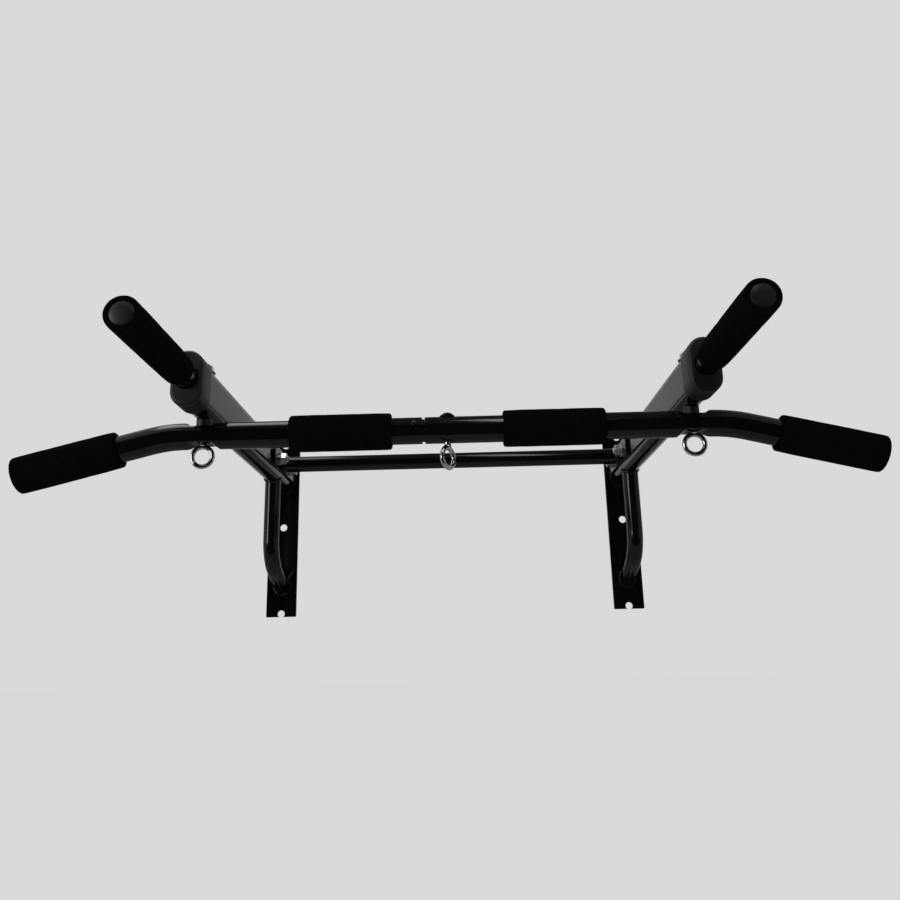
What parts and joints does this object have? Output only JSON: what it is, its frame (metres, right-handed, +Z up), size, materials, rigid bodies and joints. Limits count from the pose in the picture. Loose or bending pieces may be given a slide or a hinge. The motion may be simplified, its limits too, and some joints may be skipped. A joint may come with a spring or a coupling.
{
  "type": "pull up bar",
  "caption": "Wall-mounted pull up bar: wide bar with drooping foam ends under oval arms, straight front handles, a rear cross tube, bent braces and eyebolts for straps.",
  "frame": {"origin": "on the wall plane, midway between the two wall plates' middle screw holes", "axes": "+X to the right along the bar, +Z up, the wall is the plane Y = 0 and the bar stands out towards -Y"},
  "size_m": [1.0156, 0.6913, 0.3],
  "materials": {
    "frame_paint": "gloss",
    "foam": "matte",
    "black_plastic": "satin",
    "zinc": "satin",
    "chrome": "polished"
  },
  "bodies": {
    "frame": {"left_wall_plate": "frame_paint", "left_arm": "frame_paint", "left_brace": "frame_paint", "left_arm_cap": "black_plastic", "left_handle_tube": "frame_paint", "left_handle_plug": "black_plastic", "left_handle_grip": "foam", "left_cross_flange": "frame_paint", "left_flange_rear_bolt": "zinc", "left_flange_rear_outer_washer": "zinc", "left_flange_rear_inner_washer": "zinc", "left_flange_rear_nut": "zinc", "left_flange_front_bolt": "zinc", "left_flange_front_outer_washer": "zinc", "left_flange_front_inner_washer": "zinc", "left_flange_front_nut": "zinc", "left_bar": "frame_paint", "left_center_grip": "foam", "left_end_grip": "foam", "left_bar_plug": "black_plastic", "left_eyebolt": "chrome", "left_eyebolt_spacer": "black_plastic", "left_eyebolt_washer": "zinc", "left_eyebolt_nut": "zinc", "right_wall_plate": "frame_paint", "right_arm": "frame_paint", "right_brace": "frame_paint", "right_arm_cap": "black_plastic", "right_handle_tube": "frame_paint", "right_handle_plug": "black_plastic", "right_handle_grip": "foam", "right_cross_flange": "frame_paint", "right_flange_rear_bolt": "zinc", "right_flange_rear_outer_washer": "zinc", "right_flange_rear_inner_washer": "zinc", "right_flange_rear_nut": "zinc", "right_flange_front_bolt": "zinc", "right_flange_front_outer_washer": "zinc", "right_flange_front_inner_washer": "zinc", "right_flange_front_nut": "zinc", "right_bar": "frame_paint", "right_center_grip": "foam", "right_end_grip": "foam", "right_bar_plug": "black_plastic", "right_eyebolt": "chrome", "right_eyebolt_spacer": "black_plastic", "right_eyebolt_washer": "zinc", "right_eyebolt_nut": "zinc", "cross_tube": "frame_paint", "joint_sleeve": "frame_paint", "joint_screw": "frame_paint"},
    "swivel_eye": {"center_eyebolt": "chrome", "center_eyebolt_washer": "frame_paint", "center_eyebolt_nut": "frame_paint"}
  },
  "joints": [
    {"name": "eyebolt_swivel", "type": "hinge", "parent": "frame", "child": "swivel_eye", "pos_m": [0, -0.445, 0.041], "axis": [0, 0, 1], "continuous": true}
  ]
}
